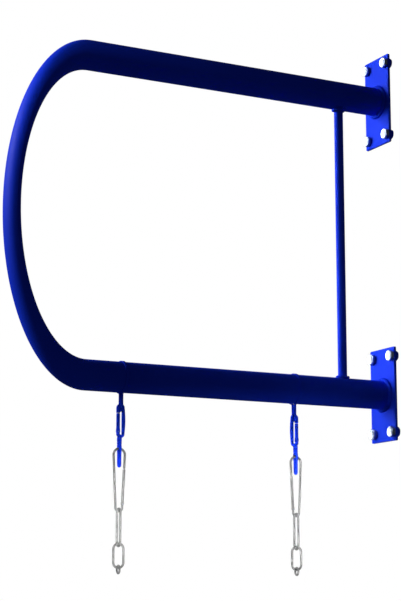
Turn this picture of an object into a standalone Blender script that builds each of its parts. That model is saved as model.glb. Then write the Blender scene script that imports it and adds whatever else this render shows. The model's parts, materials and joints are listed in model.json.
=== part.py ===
"""Wall frame of a gymnastics kip bar: a bent tube on two wall plates, with two hangers.

Units are metres. +Z is up, the wall is the plane x = 0 and the frame reaches out along -X.
A hanger has axes of its own: its origin is on its clamp bolt, and X runs to its hook's arm.
"""

import math

import bmesh
import bpy
from mathutils import Matrix, Vector

GAP = 0.0003  # left between pieces that touch
WELD_DISTANCE = 0.00001  # joins a curve's caps to its sides
SHARP = math.radians(35)

# ---- bent tube ----
TUBE_R = 0.0254
TUBE_WALL = 0.0032
ARM_Z = 0.269  # height of each arm's axis above and below the middle
BEND_X = -0.5812  # where the arms end and the bend starts
BEND_DEPTH = 0.488  # depth of the bend over its half height
BEND_STEPS = 26

# ---- wall plates, with the nuts behind them against the wall ----
NUT_TALL = 0.0050
PLATE_BACK = -GAP - NUT_TALL
PLATE_THICK = 0.005
PLATE_FRONT = PLATE_BACK - PLATE_THICK
PLATE_WIDE = 0.0762
PLATE_TALL = 0.1651
PLATE_BEVEL = 0.0008
BOLT_Y = 0.0290
BOLT_Z = 0.0670  # from the plate's middle
HOLE_R = 0.0055

# ---- M10 bolts ----
BOLT_R = 0.0050
HEX_FLAT = 0.017
HEAD_TALL = 0.0064
THREAD_SHORT = 0.0004  # how far the shank ends inside its nut
CHAMFER_TALL = 0.12  # a hexagon's turned edge over its height
CHAMFER_WIDE = 0.95  # the turned face over the hexagon's width

# ---- brace between the arms ----
BRACE_X = -0.0932
BRACE_R = 0.008
BRACE_WALL = 0.002
COPE_HALF = 0.02  # half the length of the cutter that shapes the brace's end

# ---- weld beads ----
PLATE_BEAD_R = 0.0025
BRACE_BEAD_R = 0.0020

# ---- hangers: where each hangs, and whether it is turned round ----
HANGERS = (("outer", -0.5175, 0), ("inner", -0.1925, math.pi))
PIVOT_Z = -0.319  # axis of the clamp bolt

STRAP_WIDE = 0.005
STRAP_THICK = 0.0012
TAIL_Y = 0.0035  # middle of each strap tail
TAIL_END = -0.006
STRAP_BEND = 0.003

CLAMP_R = 0.0015
CLAMP_FLAT = 0.0055
CLAMP_HEAD = 0.0020
CLAMP_NUT = 0.0024
CLAMP_PROUD = 0.0006  # how far the shank stands out of its nut

# ---- snap hook ----
HOOK_GAP = 0.0018  # half the loop's inside width
HOOK_ARM = 0.0044  # thickness of the arm at its ends
HOOK_NOSE = 0.0058  # thickness of the nose, the foot and the gate
HOOK_DEEP = 0.0050  # along the clamp bolt
HOOK_BULGE = 0.0014  # how much thicker the arm is halfway
HOOK_CHAMFER = 0.0008
HOOK_FOOT = -0.042
NOSE_END = -0.0083
HOOK_PIVOT = -0.0385
SEAT_Z = -0.0463  # under the swivel pin's head
SEAT_PLAY = 0.0005
SHANK = -0.0022  # how far the boss and all that hangs from it stand to the gate's side
BOSS_R = 0.0040
BOSS_END = -0.0555

# ---- swivel ----
SWIVEL_PIN_R = 0.0015
SWIVEL_HEAD_R = 0.0023
EYE_Z = -0.0653
EYE_R = 0.0037
EYE_STATIONS = [  # half widths along x and y, and the height, from the collar to the tail's end
    (0.0032, 0.0046, BOSS_END - 0.0045),
    (0.0033, 0.0059, EYE_Z + 0.0030),
    (0.0033, 0.0060, EYE_Z - 0.0030),
    (0.0034, 0.0043, EYE_Z - 0.0080),
    (0.0034, 0.0040, -0.0910),
    (0.0029, 0.0034, -0.0948),
    (0.0014, 0.0018, -0.0965),
]

# ---- carabiner ----
CLIP_ROD = 0.0019
CLIP_TOP = (-0.0760, 0.0099)  # centre and radius of the wide end
CLIP_FOOT = (-0.1606, 0.0058)  # centre and radius of the narrow end
CLIP_PIVOT = -0.1550
CLIP_TIP = -0.0990
CLIP_GATE = 0.0034
CLIP_NOSE_GAP = 0.0007  # between its gate's tip and the nose, whose end slopes

# ---- gates and the tongues that they fork over ----
GATE_DEEP = 0.0050
GATE_GAP = 0.0006  # between a hook's gate tip and its nose
TONGUE = 0.0010  # half the thickness of a tongue
TONGUE_END = 0.0018  # above the pivot
HOOK_CHEEK = HOOK_NOSE / 2 + 0.0008  # radius that is thinned round a hook's pivot
CLIP_CHEEK = 0.0028  # the same on a carabiner
FORK_PLAY = 0.0012  # between a fork's bottom and the tongue's round end
RIVET_R = 0.0009
RIVET_PROUD = 0.0002
CUT_HALF = 0.006  # half the length of the cutters across a hanger's pieces

# ---- chain: plane, rod radius, end radius, top and bottom of the rod's centre line ----
LINKS = (
    ("chain_link_1", "YZ", 0.0019, 0.0066, -0.1623, -0.2218),
    ("chain_link_2", "XZ", 0.0019, 0.0088, -0.2177, -0.2561),
    ("end_link", "YZ", 0.0016, 0.0052, -0.2523, -0.2645),
)

BLUE = ("blue powder coat", (0.006, 0.03, 0.55, 1), 0.0, 0.45)
PLATED = ("zinc plate", (0.72, 0.74, 0.78, 1), 1.0, 0.3)
STEEL = ("bright steel", (0.42, 0.42, 0.43, 1), 1.0, 0.32)

# a flat shape's own plane turned upright: its X and Y become these, and its Z the third
ONTO_XZ = Matrix.Rotation(math.pi / 2, 4, "X")
ONTO_YZ = Matrix(((0, 0, 1, 0), (1, 0, 0, 0), (0, 1, 0, 0), (0, 0, 0, 1)))


# ------------------------------------------------------------------ scene

def clear():
    for obj in list(bpy.data.objects):
        bpy.data.objects.remove(obj)


def collection(name, hidden=False):
    made = bpy.data.collections.new(name)
    bpy.context.scene.collection.children.link(made)
    made.hide_render = hidden
    return made


def material(name, colour, metallic, rough):
    found = bpy.data.materials.get(name)
    if found:
        return found
    made = bpy.data.materials.new(name)
    made.use_nodes = True
    shader = made.node_tree.nodes["Principled BSDF"]
    shader.inputs["Base Color"].default_value = colour
    shader.inputs["Metallic"].default_value = metallic
    shader.inputs["Roughness"].default_value = rough
    return made


def put(name, mesh, spec, into, parent=None):
    """An object for a mesh. One without a material is a cutter."""
    obj = bpy.data.objects.new(name, mesh)
    into.objects.link(obj)
    obj.parent = parent
    if spec:
        mesh.materials.append(material(*spec))
    else:
        obj.display_type = "WIRE"
        obj.hide_render = True
    return obj


def empty(name, place, into, parent=None):
    made = bpy.data.objects.new(name, None)
    made.empty_display_size = 0.01
    made.location = place
    made.parent = parent
    into.objects.link(made)
    return made


def boolean(obj, cutter, operation="DIFFERENCE"):
    mod = obj.modifiers.new(operation.lower(), "BOOLEAN")
    mod.operation = operation
    mod.solver = "EXACT"
    mod.object = cutter


def solidify(obj, thick, offset):
    mod = obj.modifiers.new("thickness", "SOLIDIFY")
    mod.thickness = thick
    mod.offset = offset
    mod.use_even_offset = True


# ------------------------------------------------------------------ meshes

def to_mesh(bm, smooth=True):
    bmesh.ops.recalc_face_normals(bm, faces=bm.faces)
    mesh = bpy.data.meshes.new("shape")
    bm.to_mesh(mesh)
    bm.free()
    if smooth:
        mesh.shade_smooth()
        mesh.set_sharp_from_angle(angle=SHARP)
    return mesh


def box(low, high):
    low, high = Vector(low), Vector(high)
    bm = bmesh.new()
    place = Matrix.Translation((low + high) / 2) @ Matrix.Diagonal((*(high - low), 1))
    bmesh.ops.create_cube(bm, size=1, matrix=place)
    return to_mesh(bm, smooth=False)


def cylinder(start, end, radius, sides=16, caps=True):
    start, end = Vector(start), Vector(end)
    span = end - start
    place = Matrix.Translation((start + end) / 2) @ span.to_track_quat("Z", "Y").to_matrix().to_4x4()
    bm = bmesh.new()
    bmesh.ops.create_cone(
        bm, cap_ends=caps, segments=sides, radius1=radius, radius2=radius, depth=span.length, matrix=place
    )
    return to_mesh(bm)


def poly_curve(points, dimensions, closed):
    curve = bpy.data.curves.new("line", "CURVE")
    curve.dimensions = dimensions
    spline = curve.splines.new("POLY")
    spline.points.add(len(points) - 1)
    for point, place in zip(spline.points, points):
        point.co = (*place, 1)
    spline.use_cyclic_u = closed
    return curve


def curve_mesh(curve, turn=None):
    """A curve's surface as a mesh, with its loose caps joined on."""
    carrier = bpy.data.objects.new("line", curve)
    bpy.context.scene.collection.objects.link(carrier)
    seen = carrier.evaluated_get(bpy.context.evaluated_depsgraph_get())
    bm = bmesh.new()
    made = bpy.data.meshes.new_from_object(seen)
    bm.from_mesh(made)
    bpy.data.meshes.remove(made)
    bpy.data.objects.remove(carrier)
    bpy.data.curves.remove(curve)
    bmesh.ops.remove_doubles(bm, verts=bm.verts, dist=WELD_DISTANCE)
    if turn:
        bm.transform(turn)
    return to_mesh(bm)


def wire(path, radius, resolution, closed=False, caps=True):
    """A round rod along a path. It has 4 sides and 2 more for each step of resolution."""
    curve = poly_curve(path, "3D", closed)
    curve.bevel_depth = radius
    curve.bevel_resolution = resolution
    curve.use_fill_caps = caps and not closed
    return curve_mesh(curve)


def slab(outline, thick, turn):
    """A flat outline, made thick evenly to both sides of its plane."""
    curve = poly_curve([(a, b, 0) for a, b in outline], "2D", True)
    curve.fill_mode = "BOTH"
    curve.extrude = thick / 2
    return curve_mesh(curve, turn)


def ribbon(line, wide, turn):
    """An open line drawn out evenly to both sides of its plane."""
    curve = poly_curve([(a, b, 0) for a, b in line], "2D", False)
    curve.fill_mode = "NONE"
    curve.extrude = wide / 2
    return curve_mesh(curve, turn)


def loft(loops, closed=False):
    """A surface over loops of points, capped at both ends unless it closes on itself."""
    bm = bmesh.new()
    rows = [[bm.verts.new(p) for p in loop] for loop in loops]
    pairs = list(zip(rows, rows[1:]))
    if closed:
        pairs.append((rows[-1], rows[0]))
    for here, there in pairs:
        for j in range(len(here)):
            k = (j + 1) % len(here)
            bm.faces.new((here[j], here[k], there[k], there[j]))
    if not closed:
        bm.faces.new(rows[0])
        bm.faces.new(rows[-1])
    return to_mesh(bm)


# ------------------------------------------------------------------ outlines

def arc(centre, radius, start, end, steps):
    """Points of an arc, with its angles in degrees."""
    made = []
    for i in range(steps + 1):
        t = math.radians(start + (end - start) * i / steps)
        made.append((centre[0] + radius * math.cos(t), centre[1] + radius * math.sin(t)))
    return made


def oval(wide, deep, z, sides):
    """An ellipse round the Z axis, from its two half widths."""
    turns = [2 * math.pi * (i + 0.5) / sides for i in range(sides)]
    return [Vector((wide * math.cos(t), deep * math.sin(t), z)) for t in turns]


def circle(radius, z, sides=18):
    turns = [2 * math.pi * i / sides for i in range(sides)]
    return [Vector((radius * math.cos(t), radius * math.sin(t), z)) for t in turns]


def hexagon(flat, z, per_side=3):
    """A hexagon round the Z axis, each side cut in equal lengths."""
    corners = circle(flat / math.sqrt(3), z, 6)
    points = []
    for a, b in zip(corners, corners[1:] + corners[:1]):
        points += [a.lerp(b, k / per_side) for k in range(per_side)]
    return points


def bar_section(wide, deep, chamfer):
    a, b, c = wide / 2, deep / 2, chamfer
    return [
        (a, -b + c), (a, b - c), (a - c, b), (-a + c, b),
        (-a, b - c), (-a, -b + c), (-a + c, -b), (a - c, -b),
    ]


def hex_bolt(radius, flat, head, length):
    """A bolt whose head stands on z = 0 and whose shank runs to z = -length."""
    return loft([
        circle(radius, -length),
        circle(radius, 0),
        hexagon(flat, 0),
        hexagon(flat, head * (1 - CHAMFER_TALL)),
        circle(flat / 2 * CHAMFER_WIDE, head),
    ])


def hex_nut(radius, flat, tall):
    """A nut that stands on z = 0."""
    return loft([
        hexagon(flat, 0),
        hexagon(flat, tall * (1 - CHAMFER_TALL)),
        circle(flat / 2 * CHAMFER_WIDE, tall),
        circle(radius, tall),
        circle(radius, 0),
    ], closed=True)


# ------------------------------------------------------------------ frame

def frame_tube(parts):
    """The hollow tube: out along the upper arm, round the bend, back along the lower arm."""
    start = PLATE_FRONT - GAP
    path = [(start, 0, ARM_Z)]
    path += [(x, 0, z) for x, z in arc((BEND_X, 0), ARM_Z, 90, 270, BEND_STEPS)]
    path.append((start, 0, -ARM_Z))
    mesh = wire(path, TUBE_R, 10, caps=False)
    for vertex in mesh.vertices:
        if vertex.co.x < BEND_X:
            vertex.co.x = BEND_X + (vertex.co.x - BEND_X) * BEND_DEPTH
    solidify(put("frame_tube", mesh, BLUE, parts), TUBE_WALL, -1)


def brace_tube(parts, cutters):
    """The thin upright tube between the arms, its open ends coped to their curve."""
    ends = (BRACE_X, 0, -ARM_Z), (BRACE_X, 0, ARM_Z)
    obj = put("brace_tube", cylinder(*ends, BRACE_R, 20, caps=False), BLUE, parts)
    solidify(obj, BRACE_WALL, -1)
    for side, level in ((1, "upper"), (-1, "lower")):
        low = (BRACE_X - COPE_HALF, 0, side * ARM_Z)
        high = (BRACE_X + COPE_HALF, 0, side * ARM_Z)
        boolean(obj, put(f"cope_{level}", cylinder(low, high, TUBE_R + GAP, 48), None, cutters))


def brace_weld(level, side, parts):
    """A bead round the end of the brace, lying on the arm's curved surface."""
    far = TUBE_R + GAP + BRACE_BEAD_R
    path = []
    for x, y in arc((BRACE_X, 0), BRACE_R + GAP + BRACE_BEAD_R, 0, 360, 22)[:-1]:
        path.append((x, y, side * (ARM_Z - math.sqrt(far * far - y * y))))
    put(f"{level}_brace_weld", wire(path, BRACE_BEAD_R, 2, closed=True), BLUE, parts)


def plate_weld(level, side, parts):
    """A bead round the end of an arm, against the plate's front face."""
    x = PLATE_FRONT - GAP - PLATE_BEAD_R
    ring = arc((0, side * ARM_Z), TUBE_R + GAP + PLATE_BEAD_R, 0, 360, 28)[:-1]
    path = [(x, y, z) for y, z in ring]
    put(f"{level}_plate_weld", wire(path, PLATE_BEAD_R, 2, closed=True), BLUE, parts)


def bolt_places(level, side):
    return [
        (f"{level}_{row}_{hand}", y * BOLT_Y, side * ARM_Z + up * BOLT_Z)
        for up, row in ((1, "top"), (-1, "foot"))
        for y, hand in ((-1, "near"), (1, "far"))
    ]


def wall_plate(level, side, parts, cutters):
    """A flat plate with softened edges and a bolt hole near each corner."""
    z = side * ARM_Z
    low = (PLATE_FRONT, -PLATE_WIDE / 2, z - PLATE_TALL / 2)
    high = (PLATE_BACK, PLATE_WIDE / 2, z + PLATE_TALL / 2)
    obj = put(f"{level}_wall_plate", box(low, high), BLUE, parts)
    soft = obj.modifiers.new("edges", "BEVEL")
    soft.width = PLATE_BEVEL
    soft.segments = 1
    for name, y, up in bolt_places(level, side):
        ends = (PLATE_FRONT - PLATE_THICK, y, up), (PLATE_BACK + PLATE_THICK, y, up)
        boolean(obj, put(f"hole_{name}", cylinder(*ends, HOLE_R, 18), None, cutters))


def plate_bolts(level, side, parts):
    """The bolts, their heads away from the wall, and the nuts behind the plates."""
    length = PLATE_THICK + 2 * GAP + NUT_TALL - THREAD_SHORT
    for name, y, z in bolt_places(level, side):
        bolt = put(f"bolt_{name}", hex_bolt(BOLT_R, HEX_FLAT, HEAD_TALL, length), PLATED, parts)
        bolt.location = (PLATE_FRONT - GAP, y, z)
        bolt.rotation_euler.y = -math.pi / 2
        nut = put(f"nut_{name}", hex_nut(BOLT_R + GAP, HEX_FLAT, NUT_TALL), BLUE, parts)
        nut.location = (PLATE_BACK + GAP, y, z)
        nut.rotation_euler.y = math.pi / 2


# ------------------------------------------------------------------ hangers

class Axes:
    """The axes that some of a hanger's pieces are drawn in, and the pivots that carry them."""

    def __init__(self, name, base, parts, cutters):
        self.name, self.base, self.parts, self.cutters = name, base, parts, cutters
        self.pivots = {None: (base, Vector())}

    def pivot(self, name, x, z, carrier=None):
        """An empty on a joint's axis, on the pivot that carries it."""
        parent, origin = self.pivots[carrier]
        here = Vector((x, 0, z))
        made = empty(f"{self.name}_{name}_pivot", here - origin, self.parts, parent)
        self.pivots[name] = made, here
        return made

    def add(self, name, mesh, spec, carrier=None):
        parent, origin = self.pivots[carrier]
        obj = put(f"{self.name}_{name}", mesh, spec, self.parts, parent)
        obj.location = -origin
        return obj

    def cutter(self, name, start, end, radius, sides=16):
        mesh = cylinder(start, end, radius, sides)
        return put(f"{self.name}_{name}", mesh, None, self.cutters, self.base)


def strap(axes):
    """A flat band round the lower arm whose two tails hang below it."""
    middle = -ARM_Z - PIVOT_Z  # the arm's axis, above the clamp bolt
    ring = TUBE_R + GAP + STRAP_THICK / 2
    out = TAIL_Y + STRAP_BEND
    down = math.sqrt((ring + STRAP_BEND) ** 2 - out * out)
    turn = math.degrees(math.atan2(down, out))  # below the horizontal, seen from the arm's axis
    line = [(TAIL_Y, TAIL_END)]
    line += arc((out, middle - down), STRAP_BEND, 180, 180 - turn, 3)
    line += arc((0, middle), ring, -turn, 180 + turn, 24)[1:]
    line += arc((-out, middle - down), STRAP_BEND, turn, 0, 3)[1:]
    line.append((-TAIL_Y, TAIL_END))
    obj = axes.add("strap", ribbon(line, STRAP_WIDE, ONTO_YZ), BLUE)
    solidify(obj, STRAP_THICK, 0)
    boolean(obj, axes.cutter("strap_hole", (0, -CUT_HALF, 0), (0, CUT_HALF, 0), CLAMP_R + GAP))


def clamp(axes):
    """The small bolt through the tails, which carries the hook, and its nut."""
    outside = TAIL_Y + STRAP_THICK / 2 + GAP
    length = 2 * outside + CLAMP_NUT + CLAMP_PROUD
    bolt = axes.add("clamp_bolt", hex_bolt(CLAMP_R, CLAMP_FLAT, CLAMP_HEAD, length), BLUE)
    bolt.location.y = -outside
    bolt.rotation_euler.x = math.pi / 2
    nut = axes.add("clamp_nut", hex_nut(CLAMP_R + GAP, CLAMP_FLAT, CLAMP_NUT), BLUE)
    nut.location.y = outside
    nut.rotation_euler.x = -math.pi / 2


def hook_side(t):
    """A point on the loop's inner face, the way out from it, and the bar's thickness.

    t runs from 0 at the nose, over the crown at 1 to 2, down the arm to 3 and round the foot to 4.
    """
    extra = HOOK_NOSE - HOOK_ARM
    if t <= 1:
        return (-HOOK_GAP, NOSE_END * (1 - t)), (-1, 0), HOOK_NOSE
    if t <= 2:
        turn = math.radians(180 * (2 - t))
        out = math.cos(turn), math.sin(turn)
        return (HOOK_GAP * out[0], HOOK_GAP * out[1]), out, HOOK_ARM + extra * (2 - t)
    if t <= 3:
        swell = HOOK_BULGE * math.sin(math.pi * (t - 2))
        return (HOOK_GAP, HOOK_FOOT * (t - 2)), (1, 0), HOOK_ARM + swell
    turn = math.radians(180 * (3 - t))
    out = math.cos(turn), math.sin(turn)
    return (HOOK_GAP * out[0], HOOK_FOOT + HOOK_GAP * out[1]), out, HOOK_ARM + extra * (t - 3)


def hook_loops():
    """Sections of the loop from the nose over the crown, down the arm and up to the gate's foot."""
    steps = [0] + [1 + i / 8 for i in range(9)] + [2 + i / 12 for i in range(1, 12)]
    steps += [3 + i / 8 for i in range(9)]
    stations = [hook_side(t) for t in steps]
    stations.append(((-HOOK_GAP, HOOK_PIVOT + TONGUE_END), (-1, 0), HOOK_NOSE))
    loops = []
    for (x, z), (a, b), thick in stations:
        outline = bar_section(thick, HOOK_DEEP, HOOK_CHAMFER)
        middle = thick / 2
        loops.append([Vector((x + a * (middle + u), v, z + b * (middle + u))) for u, v in outline])
    return loops


def hook(axes):
    """The snap hook's body: an open loop with a round boss under it for the swivel."""
    obj = axes.add("hook_body", loft(hook_loops()), BLUE, "hook")
    over = 2 * GAP  # how far the boss reaches into the loop's foot
    boss = (SHANK, 0, SEAT_Z + over), (SHANK, 0, BOSS_END)
    boolean(obj, axes.cutter("boss", *boss, BOSS_R, 18), "UNION")
    seat = (SHANK, 0, HOOK_FOOT), (SHANK, 0, SEAT_Z + GAP)
    boolean(obj, axes.cutter("seat", *seat, SWIVEL_HEAD_R + SEAT_PLAY))
    bore = (SHANK, 0, SEAT_Z + BOSS_R), (SHANK, 0, BOSS_END - BOSS_R)
    boolean(obj, axes.cutter("bore", *bore, SWIVEL_PIN_R + GAP))
    x = -HOOK_GAP - HOOK_NOSE / 2
    tongue(axes, obj, "hook", x, HOOK_PIVOT, HOOK_CHEEK)
    rivet(axes, "hook_rivet", x, HOOK_PIVOT, "hook")


def tongue(axes, obj, name, x, z, reach):
    """Thins a body to a tongue round a gate's pivot and bores it for the rivet."""
    for side, hand in ((-1, "near"), (1, "far")):
        ends = (x, side * TONGUE, z), (x, side * CUT_HALF, z)
        boolean(obj, axes.cutter(f"{name}_{hand}_cheek", *ends, reach))
    ends = (x, -CUT_HALF, z), (x, CUT_HALF, z)
    boolean(obj, axes.cutter(f"{name}_rivet_hole", *ends, RIVET_R + GAP, 12))


def rivet(axes, name, x, z, carrier):
    half = GATE_DEEP / 2 + RIVET_PROUD
    axes.add(name, cylinder((x, -half, z), (x, half, z), RIVET_R, 12), PLATED, carrier)


def gate(axes, name, foot, tip, wide, spec):
    """A bar from its pivot at foot to its tip, forked over the body's tongue."""
    a, b = Vector(foot), Vector(tip)
    along = (b - a).normalized()
    side = Vector((-along.y, along.x))
    half = wide / 2
    outline = []
    for i in range(9):
        t = math.radians(-180 * i / 8)
        outline.append(a + along * (half * math.sin(t)) + side * (half * math.cos(t)))
    outline += [b - side * half, b + side * half]
    obj = axes.add(name, slab(outline, GATE_DEEP, ONTO_XZ), spec, name)
    slot = TONGUE + GAP
    ends = (foot[0], -slot, foot[1]), (foot[0], slot, foot[1])
    boolean(obj, axes.cutter(f"{name}_slot", *ends, half + FORK_PLAY))
    ends = (foot[0], -CUT_HALF, foot[1]), (foot[0], CUT_HALF, foot[1])
    boolean(obj, axes.cutter(f"{name}_hole", *ends, RIVET_R + GAP, 12))


def swivel(axes):
    """A turned pin with a head above the boss, and under it an eye that ends in a long tail."""
    low = BOSS_END - GAP
    head, pin = SWIVEL_HEAD_R, SWIVEL_PIN_R
    stations = [
        (SEAT_Z + 0.0020, head * 0.8, head * 0.8),
        (SEAT_Z + 0.0014, head, head),
        (SEAT_Z + 0.0006, head, head),
        (SEAT_Z + 0.0006, pin, pin),
        (low, pin, pin),
        (low, BOSS_R, BOSS_R),
        (low - 0.0020, BOSS_R, BOSS_R),
    ]
    stations += [(z, wide, deep) for wide, deep, z in EYE_STATIONS]
    mesh = loft([oval(wide, deep, z, 16) for z, wide, deep in stations])
    obj = axes.add("swivel_eye", mesh, BLUE, "swivel")
    boolean(obj, axes.cutter("eye", (-CUT_HALF, 0, EYE_Z), (CUT_HALF, 0, EYE_Z), EYE_R))


def clip_side(z):
    """Half the carabiner's width, on the centre line, where its sides are straight."""
    (top, wide), (foot, narrow) = CLIP_TOP, CLIP_FOOT
    lean = (wide - narrow) / (top - foot)
    return (narrow + (z - foot) * lean) / math.sqrt(1 - lean * lean)


def carabiner(axes):
    """A pear-shaped rod loop, wide end up, open on one side for its gate."""
    (top, wide), (foot, narrow) = CLIP_TOP, CLIP_FOOT
    lean = math.degrees(math.asin((wide - narrow) / (top - foot)))
    nose = CLIP_TIP + CLIP_NOSE_GAP
    flat = [(clip_side(nose), nose)]
    flat += arc((0, top), wide, -lean, 180 + lean, 16)
    flat += arc((0, foot), narrow, 180 + lean, 360 - lean, 10)
    flat.append((clip_side(CLIP_PIVOT), CLIP_PIVOT + TONGUE_END))
    mesh = wire([(x, 0, z) for x, z in flat], CLIP_ROD, 3)
    obj = axes.add("carabiner_body", mesh, STEEL, "carabiner")
    x = clip_side(CLIP_PIVOT)
    tongue(axes, obj, "clip", x, CLIP_PIVOT, CLIP_CHEEK)
    rivet(axes, "carabiner_rivet", x, CLIP_PIVOT, "carabiner")


def link(axes, name, plane, rod, end, top, foot):
    """A round-ended chain link. top and foot are the ends of the rod's centre line."""
    flat = arc((0, top - end), end, 0, 180, 10) + arc((0, foot + end), end, 180, 360, 10)
    path = [(a, 0, z) if plane == "XZ" else (0, a, z) for a, z in flat]
    axes.add(name, wire(path, rod, 3, closed=True), STEEL, name)


def upper_hanger(axes):
    """The strap on the arm, the clamp bolt and the hook that swings on it."""
    axes.pivot("hook", 0, 0)
    foot = (-HOOK_GAP - HOOK_NOSE / 2, HOOK_PIVOT)
    tip = (foot[0], NOSE_END - GATE_GAP)
    axes.pivot("hook_gate", *foot, "hook")
    strap(axes)
    clamp(axes)
    hook(axes)
    gate(axes, "hook_gate", foot, tip, HOOK_NOSE, BLUE)


def lower_hanger(axes):
    """What turns under the boss: the swivel, the carabiner and the chain."""
    foot = (clip_side(CLIP_PIVOT), CLIP_PIVOT)
    tip = (clip_side(CLIP_TIP), CLIP_TIP)
    axes.pivot("swivel", 0, BOSS_END)
    axes.pivot("carabiner", 0, sum(CLIP_TOP), "swivel")
    axes.pivot("carabiner_gate", *foot, "carabiner")
    carrier = "carabiner"
    for name, *_, top, _ in LINKS:
        axes.pivot(name, 0, top, carrier)
        carrier = name
    swivel(axes)
    carabiner(axes)
    gate(axes, "carabiner_gate", foot, tip, CLIP_GATE, STEEL)
    for spec in LINKS:
        link(axes, *spec)


def main():
    clear()
    parts = collection("kip_bar_wall_frame")
    cutters = collection("cutters", hidden=True)
    frame_tube(parts)
    brace_tube(parts, cutters)
    for level, side in (("upper", 1), ("lower", -1)):
        wall_plate(level, side, parts, cutters)
        plate_bolts(level, side, parts)
        plate_weld(level, side, parts)
        brace_weld(level, side, parts)
    for name, x, turn in HANGERS:
        base = empty(f"{name}_hanger", (x, 0, PIVOT_Z), parts)
        base.rotation_euler.z = turn
        upper = Axes(name, base, parts, cutters)
        upper_hanger(upper)
        shank = empty(f"{name}_shank", (SHANK, 0, 0), parts, upper.pivots["hook"][0])
        lower_hanger(Axes(name, shank, parts, cutters))


main()
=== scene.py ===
import json
import math

import bmesh
import bpy
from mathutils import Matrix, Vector

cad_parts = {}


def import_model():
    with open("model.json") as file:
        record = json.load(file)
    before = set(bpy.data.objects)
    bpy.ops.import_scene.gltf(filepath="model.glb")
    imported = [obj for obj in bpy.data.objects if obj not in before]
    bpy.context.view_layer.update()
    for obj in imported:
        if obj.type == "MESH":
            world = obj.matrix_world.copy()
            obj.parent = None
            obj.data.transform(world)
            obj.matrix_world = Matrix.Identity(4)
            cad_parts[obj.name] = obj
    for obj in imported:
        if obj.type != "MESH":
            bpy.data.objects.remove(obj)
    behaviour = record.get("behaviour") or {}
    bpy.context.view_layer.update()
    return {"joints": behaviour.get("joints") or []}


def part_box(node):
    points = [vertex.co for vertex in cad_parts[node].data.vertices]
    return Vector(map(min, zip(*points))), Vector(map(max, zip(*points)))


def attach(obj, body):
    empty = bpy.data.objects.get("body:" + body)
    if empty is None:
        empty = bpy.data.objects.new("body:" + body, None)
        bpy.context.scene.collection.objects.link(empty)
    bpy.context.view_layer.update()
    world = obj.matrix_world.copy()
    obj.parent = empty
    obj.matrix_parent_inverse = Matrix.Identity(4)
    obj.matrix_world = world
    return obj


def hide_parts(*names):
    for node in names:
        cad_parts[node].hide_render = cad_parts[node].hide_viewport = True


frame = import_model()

# ---------------------------------------------------------------- places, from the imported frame

JOINTS = {j["name"]: j for j in frame["joints"]}
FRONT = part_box("upper_wall_plate")[0][0]
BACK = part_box("upper_wall_plate")[1][0]
BRACE = (Vector(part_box("brace_tube")[0]) + Vector(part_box("brace_tube")[1])) / 2
HANGERS = (("outer", 1), ("inner", -1))  # 1 where the arm of the hook is on its +X side

# ---------------------------------------------------------------- sizes, in metres

GAP = 0.0003  # left between pieces that touch

# ---- frame ----
TUBE_R = 0.0254
ARM_Z = 0.269
BEND_X = -0.5812
BEND_DEPTH = 0.488  # as a share of the bend's half height
BRACE_R = 0.008
BRACE_SINK = 0.0002  # how far the brace's ends reach into the arms
BRACE_BEAD_R, BRACE_BEAD_OUT = 0.0025, 0.0016  # a bead's radius, and its middle from the metal
PLATE_BEAD_R, PLATE_BEAD_OUT = 0.0033, 0.0018
PLATE_EDGE = 0.0007
PLATE_CORNER = 0.0022
BOLT_Y, BOLT_Z = 0.0290, 0.0670  # from the plate's middle
HOLE_R = 0.0055
HOLE_OVER = 0.002  # how far the cutters reach past a plate
BOLT = (0.0050, 0.017, 0.0064, 0.0103)  # radius, width across flats, head, length
NUT = (0.0051, 0.017, 0.0050)  # radius of the bore, width across flats, height

# ---- strap and clamp ----
STRAP_THICK, STRAP_WIDE = 0.0012, 0.005
STRAP_EDGE = 0.0003
STRAP_BEND = 0.003
TAIL_Y = 0.0035  # middle of each strap tail
TAIL_END = -0.0060
CLAMP_BOLT = (0.0015, 0.0055, 0.0020)  # radius, width across flats, head
CLAMP_NUT = (0.0016, 0.0055, 0.0024)
CLAMP_PAST = 0.0030  # length of the shank beyond the strap

# ---- hook ----
HOOK_GAP = 0.0018  # half the loop's inside width
HOOK_ARM = 0.0044  # thickness of the arm at its ends
HOOK_NOSE = 0.0058  # thickness of the nose, the foot and the gate
HOOK_BULGE = 0.0014  # how much thicker the arm is halfway
HOOK_DEEP = 0.0050
HOOK_EDGE = 0.0013
HOOK_FOOT = -0.042
NOSE_END = -0.0083
SEAT_Z = -0.0463  # under the swivel pin's head
TAIL_TIP = -0.0965  # of the swivel's tail

# ---- gates, tongues and rivets ----
GATE_DEEP = 0.0050
GATE_GAP = 0.0006  # between a hook's gate tip and its nose
FORK_PLAY = 0.0012
FORK_HALF = 0.0013  # half the width of a fork's slot
TONGUE = 0.0020
RIVET_R, RIVET_HALF, RIVET_DOME = 0.0010, 0.0026, 0.0002

# ---- carabiner ----
CLIP_ROD = 0.0019
CLIP_TOP = (-0.0760, 0.0099)  # centre and radius of the wide end
CLIP_FOOT = (-0.1606, 0.0058)  # centre and radius of the narrow end
CLIP_NOSE = -0.0983
CLIP_TIP = -0.0990
CLIP_GATE = 0.0034

# ---- chain: name, body, plane, rod radius, end radius, and the ends of the centre line ----
LINKS = (
    ("chain_link_1", "link_1", "YZ", 0.0019, 0.0066, -0.1623, -0.2218),
    ("chain_link_2", "link_2", "XZ", 0.0019, 0.0088, -0.2177, -0.2561),
    ("end_link", "end_link", "YZ", 0.0016, 0.0052, -0.2523, -0.2645),
)
LINK_SEAM = 0.07  # how much a link's rod swells at its weld, as a share
SEAM_HALF = 0.0016

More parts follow.
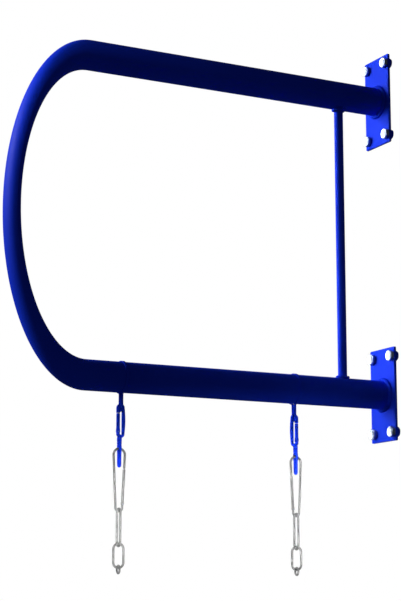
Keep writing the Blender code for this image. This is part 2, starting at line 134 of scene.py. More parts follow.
# ---- studio ----
FLOOR_Z, FLOOR_R = -1.35, 30
LIGHTS = (  # name, place, target, size, watts, spread in degrees
    ("key", (-2.9, 2.3, 1.6), (-0.35, 0, 0), (2.2, 1.0), 150, 180),
    ("bend_light", (-2.3, -0.3, 1.1), (-0.64, 0, 0.16), (0.3, 0.3), 0.10, 11),
    ("plate_light", (-1.1, 1.0, 0.1), (0, 0, 0), (0.35, 0.8), 1.5, 32),
    ("hanger_light", (-0.9, -1.5, -0.80), (-0.355, 0, -0.49), (0.5, 0.12), 1.0, 12),
    ("fill", (-1.2, -3.0, -1.0), (-0.3, 0, 0), (2.0, 2.0), 2, 180),
)
EYE = (-1.6082, -2.4000, -0.6331)
YAW, PITCH = 27.245, 10.566  # degrees
LENS = 97.8


# ---------------------------------------------------------------- materials

class Nodes:
    """A material's nodes, with the Principled shader's sockets set by name."""

    def __init__(self, name, **values):
        self.mat = bpy.data.materials.new(name)
        self.mat.use_nodes = True
        self.tree = self.mat.node_tree
        self.shader = self.tree.nodes["Principled BSDF"]
        for key, value in values.items():
            self.shader.inputs[key.replace("_", " ")].default_value = value
        coords = self.tree.nodes.new("ShaderNodeTexCoord")
        self.place = coords.outputs["Object"]

    def add(self, kind, inputs=None, **settings):
        node = self.tree.nodes.new("ShaderNode" + kind)
        for key, value in settings.items():
            setattr(node, key, value)
        for key, value in (inputs or {}).items():
            if isinstance(value, bpy.types.NodeSocket):
                self.tree.links.new(value, node.inputs[key])
            else:
                node.inputs[key].default_value = value
        return node

    def noise(self, scale, detail, rough=0.5):
        inputs = {"Vector": self.place, "Scale": scale, "Detail": detail, "Roughness": rough}
        return self.add("TexNoise", inputs).outputs["Fac"]

    def ramp(self, fac, stops):
        node = self.add("ValToRGB", {"Fac": fac})
        ramp = node.color_ramp
        while len(ramp.elements) < len(stops):
            ramp.elements.new(0.5)
        for element, (at, colour) in zip(ramp.elements, stops):
            element.position = at
            element.color = (*colour, 1)
        return node.outputs["Color"]

    def span(self, fac, low, high, start, end):
        """Maps fac, from start to end, onto low to high."""
        inputs = {"Value": fac, "From Min": start, "From Max": end}
        inputs.update({"To Min": low, "To Max": high})
        return self.add("MapRange", inputs).outputs["Result"]

    def mix(self, fac, a, b):
        """Mixes two colours. The node's colour sockets are 6 and 7, and its colour result is 2."""
        node = self.add("Mix", data_type="RGBA")
        for key, value in ((0, fac), (6, a), (7, b)):
            if isinstance(value, bpy.types.NodeSocket):
                self.tree.links.new(value, node.inputs[key])
            else:
                node.inputs[key].default_value = value
        return node.outputs[2]

    def bump(self, layers):
        """Chains (height, distance in metres, strength) bumps onto the shader's normal."""
        normal = None
        for height, distance, strength in layers:
            inputs = {"Height": height, "Distance": distance, "Strength": strength}
            if normal:
                inputs["Normal"] = normal
            normal = self.add("Bump", inputs).outputs["Normal"]
        self.to("Normal", normal)

    def to(self, name, socket):
        self.tree.links.new(socket, self.shader.inputs[name])


def powder_coat():
    """Royal blue powder coat: slightly clouded, with a fine pale speckle and orange peel."""
    n = Nodes("blue_powder_coat", IOR=1.2, Specular_IOR_Level=0.05)
    cloud = n.noise(9.0, 4.0)
    speck = n.noise(1400.0, 2.0)
    base = n.ramp(cloud, [(0.3, (0.0050, 0.031, 0.62)), (0.7, (0.0075, 0.039, 0.70))])
    speckled = n.mix(n.span(speck, 0.0, 0.10, 0.62, 0.80), base, (0.05, 0.10, 0.75, 1))
    n.to("Base Color", speckled)
    n.to("Roughness", n.span(n.noise(260.0, 4.0), 0.42, 0.55, 0.3, 0.7))
    n.bump([(n.noise(620.0, 2.0), 0.00012, 0.35), (n.noise(60.0, 3.0), 0.0003, 0.12)])
    return n.mat


def zinc():
    """Bright zinc plate: slightly blue, with faint crystal patches and a fine grain."""
    n = Nodes("bright_zinc", Metallic=1.0)
    cells = n.add("TexVoronoi", {"Vector": n.place, "Scale": 900.0}).outputs["Color"]
    grey = n.add("SeparateColor", {"Color": cells}).outputs[0]
    n.to("Base Color", n.ramp(grey, [(0.0, (0.24, 0.29, 0.40)), (1.0, (0.32, 0.38, 0.50))]))
    n.to("Roughness", n.span(n.noise(700.0, 4.0), 0.26, 0.42, 0.3, 0.7))
    n.bump([(n.noise(1500.0, 3.0), 0.00005, 0.35)])
    return n.mat


def steel():
    """Drawn steel wire: mid grey, duller in patches, with fine marks from handling."""
    n = Nodes("steel_wire", Metallic=0.4)
    grime = n.noise(180.0, 5.0, 0.6)
    n.to("Base Color", n.ramp(grime, [(0.3, (0.14, 0.14, 0.14)), (0.7, (0.23, 0.23, 0.23))]))
    n.to("Roughness", n.span(n.noise(900.0, 4.0), 0.42, 0.56, 0.3, 0.7))
    n.bump([(n.noise(1100.0, 3.0), 0.00001, 0.2)])
    return n.mat


BLUE, ZINC, STEEL = powder_coat(), zinc(), steel()


# ---------------------------------------------------------------- shapes

def finish_mesh(name, bm, mat, sharp=40):
    """An object from a bmesh, smooth but for edges sharper than that angle in degrees."""
    bmesh.ops.recalc_face_normals(bm, faces=bm.faces)
    mesh = bpy.data.meshes.new(name)
    bm.to_mesh(mesh)
    bm.free()
    mesh.materials.append(mat)
    mesh.shade_smooth()
    mesh.set_sharp_from_angle(angle=math.radians(sharp))
    obj = bpy.data.objects.new(name, mesh)
    bpy.context.scene.collection.objects.link(obj)
    return obj


def skin(bm, loops, closed=False, caps=True):
    """Faces from each loop of points to the next, and from the last to the first if closed."""
    rows = [[bm.verts.new(p) for p in loop] for loop in loops]
    count = len(rows[0])
    for i in range(len(rows) if closed else len(rows) - 1):
        a, b = rows[i], rows[(i + 1) % len(rows)]
        for j in range(count):
            k = (j + 1) % count
            bm.faces.new((a[j], a[k], b[k], b[j]))
    if caps and not closed:
        bm.faces.new(rows[0])
        bm.faces.new(rows[-1])


def ellipse(a, b, sides):
    turns = [2 * math.pi * i / sides for i in range(sides)]
    return [(a * math.cos(t), b * math.sin(t)) for t in turns]


def soft_bar(wide, deep, radius, steps=3):
    """A rectangle with round corners."""
    points = []
    for cx, cy, start in ((1, 1, 0), (-1, 1, 90), (-1, -1, 180), (1, -1, 270)):
        for i in range(steps + 1):
            t = math.radians(start + 90 * i / steps)
            points.append((
                cx * (wide / 2 - radius) + radius * math.cos(t),
                cy * (deep / 2 - radius) + radius * math.sin(t),
            ))
    return points


def sweep(path, section, across, closed=False):
    """Loops of a section along a path in a plane. section is one outline, or one per point."""
    loops = []
    count = len(path)
    for i, here in enumerate(path):
        before = path[i - 1] if closed or i else here
        after = path[(i + 1) % count] if closed or i < count - 1 else here
        into = (here - before).normalized() if before != here else (after - here).normalized()
        out = (after - here).normalized() if after != here else into
        along = (into + out).normalized()
        side = along.cross(across)
        outline = section[i] if isinstance(section[0], list) else section
        loops.append([here + side * u + across * v for u, v in outline])
    return loops


def arc(centre, radius, start, end, steps):
    made = []
    for i in range(steps + 1):
        t = math.radians(start + (end - start) * i / steps)
        made.append((centre[0] + radius * math.cos(t), centre[1] + radius * math.sin(t)))
    return made


def resample(flat, step):
    """Points about step apart along a line of points."""
    made = [Vector(flat[0])]
    for a, b in zip(flat, flat[1:]):
        a, b = Vector(a), Vector(b)
        parts = max(1, round((b - a).length / step))
        made += [a.lerp(b, k / parts) for k in range(1, parts + 1)]
    return made


def lathe(stations, sides):
    """Loops from stations of height and half width along x and y."""
    return [[Vector((x, y, z)) for x, y in ellipse(a, b, sides)] for z, a, b in stations]


def hex_loops(flat, low, high, turned_ends, per_side=8):
    """A hexagonal prism, with its low end, its high end or both turned down at 30 degrees."""
    corner = flat / math.sqrt(3)
    outline = []
    for i in range(6):
        a, b = math.radians(60 * i), math.radians(60 * (i + 1))
        start = Vector((corner * math.cos(a), corner * math.sin(a), 0))
        end = Vector((corner * math.cos(b), corner * math.sin(b), 0))
        outline += [start.lerp(end, k / per_side) for k in range(per_side)]
    turned = flat / 2 * 0.96

    def drop(p):
        return max(0.0, p.length - turned) * math.tan(math.radians(30))

    def ring(radius, z):
        return [Vector((p.x / p.length * radius, p.y / p.length * radius, z)) for p in outline]

    loops = []
    if "low" in turned_ends:
        loops += [ring(turned, low), [Vector((p.x, p.y, low + drop(p))) for p in outline]]
    else:
        loops += [[Vector((p.x, p.y, low)) for p in outline]]
    if "high" in turned_ends:
        loops += [[Vector((p.x, p.y, high - drop(p))) for p in outline], ring(turned, high)]
    else:
        loops += [[Vector((p.x, p.y, high)) for p in outline]]
    return loops, ring


def bolt_loops(radius, flat, head, length):
    """A hex bolt: head on z = 0 with a washer face, shank down to z = -length."""
    face = 0.04 * head
    loops, ring = hex_loops(flat, face, head, ("high",))
    lower = [ring(radius * 0.8, -length), ring(radius, -length + 0.1 * radius), ring(radius, 0)]
    lower += [ring(flat / 2 * 0.93, 0), ring(flat / 2 * 0.93, face)]
    dish = [ring(flat / 2 * 0.80, head), ring(flat / 2 * 0.76, head - 0.02 * head)]
    return lower + loops + dish


def nut_loops(radius, flat, tall):
    """A hex nut on z = 0, turned down at both ends, with a chamfered bore."""
    loops, ring = hex_loops(flat, 0, tall, ("low", "high"))
    bore = [ring(radius * 1.12, tall), ring(radius, tall - 0.14 * radius)]
    bore += [ring(radius, 0.14 * radius), ring(radius * 1.12, 0)]
    return loops + bore


def piece(obj, body, *nodes):
    """Rides the piece on its body, in place of its CAD nodes."""
    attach(obj, body)
    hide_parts(*nodes)
    return obj


def cut(obj, cutter, sharp=40):
    """Cuts one mesh out of another for good."""
    made = obj.modifiers.new("cut", "BOOLEAN")
    made.solver = "EXACT"
    made.object = cutter
    bpy.context.view_layer.update()
    graph = bpy.context.evaluated_depsgraph_get()
    mesh = bpy.data.meshes.new_from_object(obj.evaluated_get(graph))
    mesh.set_sharp_from_angle(angle=math.radians(sharp))
    obj.modifiers.clear()
    obj.data = mesh
    bpy.data.objects.remove(cutter)


# ---------------------------------------------------------------- the frame

def frame_tube():
    """Two straight arms joined by a half circle, which is then squeezed to its depth."""
    start = FRONT - GAP
    flat = [(start, ARM_Z)]
    flat += [(start + (BEND_X - start) * i / 24, ARM_Z) for i in range(1, 24)]
    flat += arc((BEND_X, 0), ARM_Z, 90, 270, 120)
    flat += [(BEND_X + (start - BEND_X) * i / 24, -ARM_Z) for i in range(1, 25)]
    path = [Vector((x, 0, z)) for x, z in flat]
    loops = sweep(path, ellipse(TUBE_R, TUBE_R, 64), Vector((0, 1, 0)))
    for loop in loops:
        for v in loop:
            if v.x < BEND_X:
                v.x = BEND_X + (v.x - BEND_X) * BEND_DEPTH
    bm = bmesh.new()
    skin(bm, loops)
    piece(finish_mesh("tube", bm, BLUE), "root", "frame_tube")


def brace():
    """An upright tube whose open ends follow the arms' round."""
    bm = bmesh.new()
    loops = []
    for share in [-1 + i / 12 for i in range(25)]:
        loop = []
        for x, y in ellipse(BRACE_R, BRACE_R, 48):
            reach = ARM_Z - math.sqrt(TUBE_R**2 - y * y) + BRACE_SINK
            loop.append(Vector((BRACE.x + x, y, share * reach)))
        loops.append(loop)
    skin(bm, loops, caps=False)
    piece(finish_mesh("brace", bm, BLUE), "root", "brace_tube")


def ripple(i, count, beads):
    """The rise of a weld's overlapping scales."""
    phase = (i * beads / count) % 1.0
    return 0.80 + 0.28 * math.sqrt(max(0.0, 1 - (phase - 0.15) ** 2 / 0.75))


def brace_weld(name, side):
    """A bead round the brace where it meets an arm."""
    ring, far = BRACE_R + BRACE_BEAD_OUT, TUBE_R + BRACE_BEAD_OUT
    steps = 240
    loops = []
    for i in range(steps):
        t = 2 * math.pi * i / steps
        y = ring * math.sin(t)
        rise = math.sqrt(far * far - y * y)
        here = Vector((BRACE.x + ring * math.cos(t), y, side * (ARM_Z - rise)))
        out = Vector((math.cos(t), math.sin(t), 0))
        along = Vector((-math.sin(t), math.cos(t), side * y / rise * math.cos(t))).normalized()
        up = out.cross(along).normalized()
        out = along.cross(up)
        r = BRACE_BEAD_R * ripple(i, steps, 20)
        loops.append([here + out * u + up * v for u, v in ellipse(r, r, 14)])
    bm = bmesh.new()
    skin(bm, loops, closed=True)
    piece(finish_mesh(f"{name}_bead", bm, BLUE, 60), "root", name)


def plate_weld(name, side):
    """A bead round an arm's end, flat where it lies on the plate."""
    ring, steps = TUBE_R + PLATE_BEAD_OUT, 420
    loops = []
    for i in range(steps):
        t = 2 * math.pi * i / steps
        r = PLATE_BEAD_R * ripple(i, steps, 46)
        out = Vector((0, math.cos(t), math.sin(t)))
        here = Vector((FRONT - PLATE_BEAD_OUT, 0, side * ARM_Z)) + out * ring
        loops.append([here + out * u + Vector((v, 0, 0)) for u, v in ellipse(r, r, 14)])
    for loop in loops:
        for v in loop:
            v.x = min(v.x, FRONT)
    bm = bmesh.new()
    skin(bm, loops, closed=True)
    piece(finish_mesh(f"{name}_bead", bm, BLUE, 60), "root", name)


def wall_plate(name):
    """A plate with soft edges and corners, and a hole for each bolt."""
    low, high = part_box(name)
    middle = (Vector(low) + Vector(high)) / 2
    wide, tall = high[1] - low[1], high[2] - low[2]
    edge = PLATE_EDGE
    loops = []
    for x, inset in (
        (FRONT, edge * 1.6), (FRONT + edge * 0.4, edge * 0.5), (FRONT + edge, 0),
        (BACK - edge, 0), (BACK - edge * 0.4, edge * 0.5), (BACK, edge * 1.6),
    ):
        outline = soft_bar(wide - 2 * inset, tall - 2 * inset, PLATE_CORNER - inset * 0.5, 5)
        loops.append([Vector((x, middle.y + u, middle.z + v)) for u, v in outline])
    bm = bmesh.new()
    skin(bm, loops)
    obj = finish_mesh(f"{name}_panel", bm, BLUE, 18)
    for side in (-1, 1):
        for up in (-1, 1):
            y, z = middle.y + side * BOLT_Y, middle.z + up * BOLT_Z
            ring = ellipse(HOLE_R, HOLE_R, 32)
            ends = FRONT - HOLE_OVER, BACK + HOLE_OVER
            bm = bmesh.new()
            skin(bm, [[Vector((x, y + u, z + v)) for u, v in ring] for x in ends])
            cut(obj, finish_mesh(f"{name}_cutter", bm, BLUE), 18)
    piece(obj, "root", name)


def plate_hex(kind, tag, loops, at, way, turn, mat):
    """A bolt or a nut, turned about its axis, with its top the given way along X."""
    x, y, z = at
    c, s = math.cos(turn), math.sin(turn)

    def put(p):
        return Vector((x + way * p.z, y + c * p.x - s * p.y, z + s * p.x + c * p.y))

    bm = bmesh.new()
    skin(bm, [[put(p) for p in loop] for loop in loops], closed=kind == "nut")
    obj = finish_mesh(f"{kind}_{tag}_hex", bm, mat, 30)
    piece(obj, "root", f"{kind}_{tag}")


def plate_hardware():
    """Bolts with their heads away from the wall, and the nuts behind the plates."""
    for level in ("upper", "lower"):
        for row in ("top", "foot"):
            for hand in ("near", "far"):
                tag = f"{level}_{row}_{hand}"
                low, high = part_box(f"bolt_{tag}")
                y, z = (low[1] + high[1]) / 2, (low[2] + high[2]) / 2
                # each bolt stops at an angle of its own, within 6 degrees of corner up
                turn = math.radians(30 + 6 * math.sin(730 * y + 310 * z))
                plate_hex("bolt", tag, bolt_loops(*BOLT), (FRONT, y, z), -1, turn, ZINC)
                plate_hex("nut", tag, nut_loops(*NUT), (BACK + GAP, y, z), 1, turn + 0.08, BLUE)


# ---------------------------------------------------------------- a hanger

class Hanger:
    """A hanger's own axes, from its clamp bolt: x towards the arm of its hook, and z up."""

    def __init__(self, name, face, shift=0.0):
        self.name, self.face = name, face
        self.at = Vector(JOINTS[f"{name}_hook_swing"]["pos_m"]) + Vector((face * shift, 0, 0))

    def joint(self, joint):
        """The x and z of a joint."""
        p = Vector(JOINTS[f"{self.name}_{joint}"]["pos_m"]) - self.at
        return p.x * self.face, p.z

    def put(self, p):
        """A point on these axes, in the frame's. The inner hanger is turned half round."""
        return Vector((self.at.x + self.face * p[0], self.face * p[1], self.at.z + p[2]))

    def make(self, name, body, mat, node, shells, sharp=40, closed=()):
        """A piece from shells of loops, each given along the hanger's own axes."""
        bm = bmesh.new()
        for i, loops in enumerate(shells):
            skin(bm, [[self.put(p) for p in loop] for loop in loops], closed=i in closed)
        obj = finish_mesh(f"{self.name}_{name}", bm, mat, sharp)
        body = body if body == "root" else f"{self.name}_{body}"
        return piece(obj, body, f"{self.name}_{node}")


def plane_xz(flat):
    """Flat points as points in the XZ plane."""
    return [Vector((p[0], 0, p[1])) for p in flat]


def disc_y(x, z, radius, low, high, dome=0.0, sides=28):
    """A round pin along Y with slightly domed ends."""
    edge = min(0.0002, radius * 0.2)
    stations = [
        (low - dome, radius * 0.45), (low, radius - edge), (low + edge, radius),
        (high - edge, radius), (high, radius - edge), (high + dome, radius * 0.45),
    ]
    return [[Vector((x + u, y, z + v)) for u, v in ellipse(r, r, sides)] for y, r in stations]


def strap(h):
    """A flat band round the lower arm, with two tails down to the clamp bolt."""
    middle = -ARM_Z - h.at.z
    ring = TUBE_R + GAP + STRAP_THICK / 2
    out = TAIL_Y + STRAP_BEND
    down = math.sqrt((ring + STRAP_BEND) ** 2 - out * out)
    turn = math.degrees(math.atan2(down, out))
    tail = [(TAIL_Y, TAIL_END), (TAIL_Y, TAIL_END + 0.0006), (TAIL_Y, middle - down - 0.001)]
    flat = tail + arc((out, middle - down), STRAP_BEND, 180, 180 - turn, 10)
    flat += arc((0, middle), ring, -turn, 180 + turn, 90)
    flat += arc((-out, middle - down), STRAP_BEND, turn, 0, 10)
    flat += [(-y, z) for y, z in reversed(tail)]
    path = [Vector((0, y, z)) for y, z in flat]
    full = soft_bar(STRAP_THICK, STRAP_WIDE, STRAP_EDGE)
    ends = soft_bar(STRAP_THICK * 0.7, STRAP_WIDE * 0.80, STRAP_EDGE)
    sections = [ends] + [full] * (len(path) - 2) + [ends]
    h.make("band", "root", BLUE, "strap", [sweep(path, sections, Vector((1, 0, 0)))], 50)


def clamp(h):
    """The small bolt through the strap's tails, and its nut."""
    outside = TAIL_Y + STRAP_THICK / 2 + GAP

    def turned(loops, y, way):
        return [[Vector((p.x, y + way * p.z, p.y)) for p in loop] for loop in loops]

    bolt = turned(bolt_loops(*CLAMP_BOLT, 2 * outside + CLAMP_PAST), -outside, -1)
    nut = turned(nut_loops(*CLAMP_NUT), outside, 1)
    h.make("clamp_screw", "root", BLUE, "clamp_bolt", [bolt], 30)
    h.make("clamp_hex", "root", BLUE, "clamp_nut", [nut], 30, closed=(0,))


def hook_side(t):
    """A point on the loop's inner face, the way out from it, and the bar's thickness.

    t runs from 0 at the nose, over the crown at 1 to 2, down the arm to 3 and round the foot to 4.
    """
    extra = HOOK_NOSE - HOOK_ARM
    if t <= 1:
        return (-HOOK_GAP, NOSE_END - NOSE_END * t), (-1, 0), HOOK_NOSE
    if t <= 2:
        turn = math.radians(180 * (2 - t))
        out = math.cos(turn), math.sin(turn)
        return (HOOK_GAP * out[0], HOOK_GAP * out[1]), out, HOOK_ARM + extra * (2 - t)
    if t <= 3:
        bulge = HOOK_BULGE * math.sin(math.pi * (t - 2))
        return (HOOK_GAP, HOOK_FOOT * (t - 2)), (1, 0), HOOK_ARM + bulge
    turn = math.radians(180 * (3 - t))
    out = math.cos(turn), math.sin(turn)
    return (HOOK_GAP * out[0], HOOK_FOOT + HOOK_GAP * out[1]), out, HOOK_ARM + extra * (t - 3)


def hook(h):
    """The hook's loop with a tongue at its gate's pivot, the boss below it, and the rivet."""
    gate_x, gate_z = h.joint("hook_gate_hinge")
    shank, boss_end = h.joint("swivel_turn")
    steps = [0, 0.06, 0.5] + [1 + i / 24 for i in range(25)]
    steps += [2 + i / 36 for i in range(1, 36)] + [3 + i / 24 for i in range(25)]
    stations = [(*hook_side(t), HOOK_DEEP) for t in steps]
    stations[0] = (*stations[0][:3], HOOK_DEEP * 0.82)
    tongue = ((-0.0037, HOOK_DEEP), (-0.0033, TONGUE), (0.0014, TONGUE), (0.0018, TONGUE * 0.7))
    for up, deep in tongue:
        stations.append(((-HOOK_GAP, gate_z + up), (-1, 0), HOOK_NOSE, deep))
    loops = []
    for (x, z), (a, b), thick, deep in stations:
        outline = soft_bar(thick, deep, min(HOOK_EDGE, deep * 0.3), 4)
        out = [(thick / 2 + u, v) for u, v in outline]
        loops.append([Vector((x + a * u, v, z + b * u)) for u, v in out])
    boss = lathe([  # height, and half widths along x and y
        (-0.0462, 0.0024, 0.0019),
        (-0.0469, 0.0033, 0.0028),
        (-0.0479, 0.0038, 0.0036),
        (-0.0488, 0.0040, 0.0040),
        (boss_end + 0.0006, 0.0040, 0.0040),
        (boss_end, 0.0035, 0.0035),
    ], 36)
    boss = [[p + Vector((shank, 0, 0)) for p in loop] for loop in boss]
    h.make("hook", "hook", BLUE, "hook_body", [loops, boss], 45)
    pin = disc_y(gate_x, gate_z, RIVET_R, -RIVET_HALF, RIVET_HALF, RIVET_DOME)
    h.make("hook_pin", "hook", ZINC, "hook_rivet", [pin])


def gate(h, name, node, mat, foot, tip, wide):
    """A sprung gate, a bar with a forked foot and a rounded tip. Its body is named as its node."""
    a, b = Vector((foot[0], 0, foot[1])), Vector((tip[0], 0, tip[1]))
    length = (b - a).length
    along = (b - a).normalized()
    across = Vector((0, 1, 0))
    half, deep = wide / 2, GATE_DEEP
    start = half + FORK_PLAY
    bar = [a + along * start, a + along * (start + 0.0004)]
    for k in range(1, 13):
        bar.append(a + along * (start + 0.0004 + (length - start - 0.0010) * k / 12))
    bar += [a + along * (length - 0.0002), b]
    full = soft_bar(wide, deep * 0.94, wide * 0.30, 4)
    small = soft_bar(wide * 0.86, deep * 0.80, wide * 0.26, 4)
    tiny = soft_bar(wide * 0.62, deep * 0.58, wide * 0.18, 4)
    shells = [sweep(bar, [small] + [full] * (len(bar) - 3) + [small, tiny], across)]
    side = along.cross(across)
    for way in (-1, 1):
        inner, outer = way * FORK_HALF, way * deep / 2
        turns = [math.radians(-180 * i / 20) for i in range(21)]
        outline = []
        for t in turns:
            outline.append(a + along * (half * math.sin(t)) - side * (half * math.cos(t)))
        outline += [a + along * (start + 0.0008) + side * half * 0.9]
        outline += [a + along * (start + 0.0008) - side * half * 0.9]
        shrink = [a + (p - a) * 0.92 for p in outline]
        shells.append([
            [p + across * inner for p in outline],
            [p + across * (outer - way * 0.0002) for p in outline],
            [p + across * outer for p in shrink],
        ])
    h.make(name, node, mat, node, shells, 40)


def swivel(h):
    """A pin with a head above the boss, a collar under it, and an eye that ends in a tail."""
    top, low = SEAT_Z, h.joint("swivel_turn")[1] - GAP
    eye = h.joint("carabiner_swing")[1] + 0.0008
    stations = [  # height, and half widths along x and y
        (top + 0.0021, 0.0007, 0.0007),
        (top + 0.0019, 0.0016, 0.0016),
        (top + 0.0013, 0.0022, 0.0022),
        (top + 0.0007, 0.0023, 0.0023),
        (top + 0.0006, 0.0015, 0.0015),
        (low + 0.0003, 0.0015, 0.0015),
        (low, 0.0034, 0.0034),
        (low - 0.0005, 0.0040, 0.0040),
        (low - 0.0017, 0.0040, 0.0040),
        (low - 0.0027, 0.0036, 0.0042),
        (low - 0.0042, 0.0032, 0.0046),
    ]
    first, last = low - 0.0042, eye - 0.0080
    for i in range(1, 16):
        z = first + (last - first) * i / 16
        lobe = math.sqrt(max(0.0, 1 - ((z - eye) / 0.0085) ** 2))
        stations.append((z, 0.0033, 0.0044 + 0.0016 * lobe))
    stations += [
        (last, 0.0034, 0.0043),
        (eye - 0.0115, 0.0034, 0.0041),
        (-0.0850, 0.0034, 0.0040),
        (-0.0910, 0.0034, 0.0040),
        (-0.0932, 0.0032, 0.0037),
        (-0.0949, 0.0027, 0.0032),
        (-0.0960, 0.0019, 0.0023),
        (TAIL_TIP, 0.0008, 0.0010),
    ]
    obj = h.make("swivel", "swivel", BLUE, "swivel_eye", [lathe(stations, 40)], 50)
    flare = ((0.0050, 0.0050), (0.0033, 0.0042), (0.0022, 0.0037))  # x and radius of the eye's bore
    widths = [(-x, r) for x, r in flare] + list(reversed(flare))
    loops = [[h.put((x, u, eye + v)) for u, v in ellipse(r, r, 40)] for x, r in widths]
    bm = bmesh.new()
    skin(bm, loops)
    cut(obj, finish_mesh(f"{h.name}_eye_cutter", bm, BLUE))


def clip_side(z):
    """Half the carabiner's width, on the centre line, where its sides are straight."""
    (top, wide), (foot, narrow) = CLIP_TOP, CLIP_FOOT
    lean = (wide - narrow) / (top - foot)
    return narrow / math.sqrt(1 - lean * lean) + (z - foot) * lean / math.sqrt(1 - lean * lean)


def carabiner(h):
    """A pear-shaped rod loop from the nose to a flat tongue at the gate's pivot, and its rivet."""
    x, z = h.joint("carabiner_gate_hinge")
    (top, wide), (foot, narrow) = CLIP_TOP, CLIP_FOOT
    lean = math.degrees(math.asin((wide - narrow) / (top - foot)))
    rod, nose = CLIP_ROD, CLIP_NOSE
    flat = [(clip_side(nose), nose), (clip_side(nose + 0.0008), nose + 0.0008)]
    flat += resample([flat[-1], arc((0, top), wide, -lean, 0, 1)[0]], 0.004)[1:]
    flat += arc((0, top), wide, -lean, 180 + lean, 60)[1:]
    flat += resample([flat[-1], arc((0, foot), narrow, 180 + lean, 0, 1)[0]], 0.006)[1:]
    flat += arc((0, foot), narrow, 180 + lean, 360 - lean, 40)[1:]
    flat += [(clip_side(z + up), z + up) for up in (-0.0026, -0.0020, 0.0014, 0.0018)]
    sections = [ellipse(rod, rod, 24)] * len(flat)
    sections[0] = ellipse(rod * 0.7, rod * 0.7, 24)
    sections[-3] = sections[-2] = ellipse(rod, TONGUE / 2, 24)
    sections[-1] = ellipse(rod * 0.8, 0.0008, 24)
    body = sweep(plane_xz(flat), sections, Vector((0, 1, 0)))
    h.make("clip", "carabiner", STEEL, "carabiner_body", [body], 60)
    pin = disc_y(x, z, RIVET_R, -RIVET_HALF, RIVET_HALF, RIVET_DOME)
    h.make("clip_pin", "carabiner", ZINC, "carabiner_rivet", [pin])


def link(h, name, body, plane, rod, end, top, foot):
    """A chain link with the slight swelling of its butt weld on one side."""
    flat = arc((0, top - end), end, 0, 180, 28)
    flat += resample([flat[-1], (-end, foot + end)], 0.0015)[1:-1]
    flat += arc((0, foot + end), end, 180, 360, 28)
    flat += resample([flat[-1], (end, top - end)], 0.0015)[1:-1]
    middle = (top + foot) / 2
    sections = []
    for x, z in flat:
        weld = math.exp(-(((z - middle) / SEAM_HALF) ** 2)) if x > 0 else 0.0
        radius = rod * (1 + LINK_SEAM * weld)
        sections.append(ellipse(radius, radius, 20))
    if plane == "XZ":
        path, across = plane_xz(flat), Vector((0, 1, 0))
    else:
        path, across = [Vector((0, p[0], p[1])) for p in flat], Vector((1, 0, 0))
    shell = sweep(path, sections, across, closed=True)
    h.make(f"{name}_wire", body, STEEL, name, [shell], 60, closed=(0,))


def hanger(name, face):
    """The hook hangs from the clamp bolt. What is below it hangs from the swivel, to one side."""
    h = Hanger(name, face)
    strap(h)
    clamp(h)
    hook(h)
    foot = h.joint("hook_gate_hinge")
    gate(h, "latch", "hook_gate", BLUE, foot, (foot[0], NOSE_END - GATE_GAP), HOOK_NOSE)
    h = Hanger(name, face, h.joint("swivel_turn")[0])
    swivel(h)
    carabiner(h)
    foot = h.joint("carabiner_gate_hinge")
    gate(h, "clip_latch", "carabiner_gate", STEEL, foot, (clip_side(CLIP_TIP), CLIP_TIP), CLIP_GATE)
    for row in LINKS:
        link(h, *row)


# ---------------------------------------------------------------- studio

def floor():
    """A pale floor that glows a little, and throws no light or shadow on the frame."""
    bm = bmesh.new()
    bmesh.ops.create_circle(bm, cap_ends=True, radius=FLOOR_R, segments=96)
    n = Nodes("studio_floor", Roughness=0.9, Emission_Strength=0.72)
    pale = [(0.3, (0.86, 0.86, 0.86)), (0.7, (0.89, 0.89, 0.89))]
    n.to("Base Color", n.ramp(n.noise(1.5, 3.0), pale))
    obj = finish_mesh("floor", bm, n.mat)
    obj.location = (0, 0, FLOOR_Z)
    obj.visible_diffuse = obj.visible_glossy = obj.visible_shadow = False


def area(name, place, target, size, power, spread):
    """A rectangular light aimed at a point. spread is in degrees."""
    light = bpy.data.lights.new(name, "AREA")
    light.shape = "RECTANGLE"
    light.size, light.size_y = size
    light.energy = power
    light.spread = math.radians(spread)
    obj = bpy.data.objects.new(name, light)
    obj.location = place
    obj.rotation_mode = "QUATERNION"
    obj.rotation_quaternion = (Vector(target) - Vector(place)).to_track_quat("-Z", "Y")
    bpy.context.scene.collection.objects.link(obj)


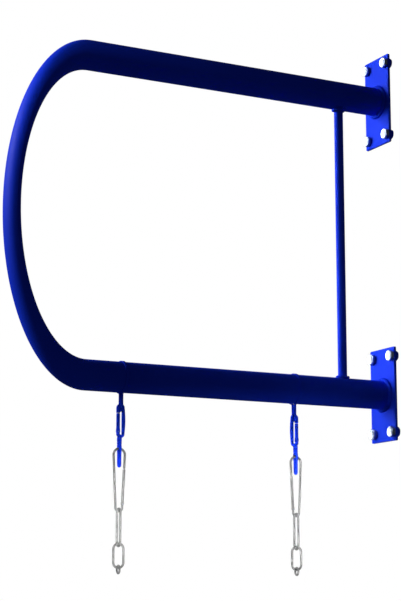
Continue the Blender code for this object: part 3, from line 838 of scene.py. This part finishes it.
def world():
    """White all round to the camera. As light, it is dim, and brighter behind the frame."""
    made = bpy.data.worlds.new("studio")
    made.use_nodes = True
    tree = made.node_tree
    back = tree.nodes["Background"]
    coords = tree.nodes.new("ShaderNodeTexCoord")
    split = tree.nodes.new("ShaderNodeSeparateXYZ")
    level = tree.nodes.new("ShaderNodeMapRange")
    level.interpolation_type = "SMOOTHSTEP"
    span = {"From Min": -0.25, "From Max": 0.45, "To Min": 0.045, "To Max": 0.10}
    for key, value in span.items():
        level.inputs[key].default_value = value
    eye = tree.nodes.new("ShaderNodeLightPath")
    pick = tree.nodes.new("ShaderNodeMix")
    pick.inputs["B"].default_value = 1.0
    tree.links.new(coords.outputs["Generated"], split.inputs[0])
    tree.links.new(split.outputs["Y"], level.inputs["Value"])
    tree.links.new(eye.outputs["Is Camera Ray"], pick.inputs["Factor"])
    tree.links.new(level.outputs["Result"], pick.inputs["A"])
    tree.links.new(pick.outputs["Result"], back.inputs["Strength"])
    back.inputs["Color"].default_value = (1, 1, 1, 1)
    bpy.context.scene.world = made


def camera():
    """Low, near and out past the bend, looking up and towards the wall."""
    data = bpy.data.cameras.new("camera")
    data.lens = LENS
    data.clip_start, data.clip_end = 0.1, 100
    obj = bpy.data.objects.new("camera", data)
    yaw, pitch = math.radians(YAW), math.radians(PITCH)
    level = math.cos(pitch)
    ahead = Vector((math.sin(yaw) * level, math.cos(yaw) * level, math.sin(pitch)))
    obj.location = EYE
    obj.rotation_mode = "QUATERNION"
    obj.rotation_quaternion = ahead.to_track_quat("-Z", "Y")
    bpy.context.scene.collection.objects.link(obj)
    bpy.context.scene.camera = obj


frame_tube()
brace()
for way, level in ((1, "upper"), (-1, "lower")):
    wall_plate(f"{level}_wall_plate")
    plate_weld(f"{level}_plate_weld", way)
    brace_weld(f"{level}_brace_weld", way)
plate_hardware()
for name, face in HANGERS:
    hanger(name, face)

floor()
world()
for row in LIGHTS:
    area(*row)
camera()
bpy.context.scene.view_settings.view_transform = "Standard"
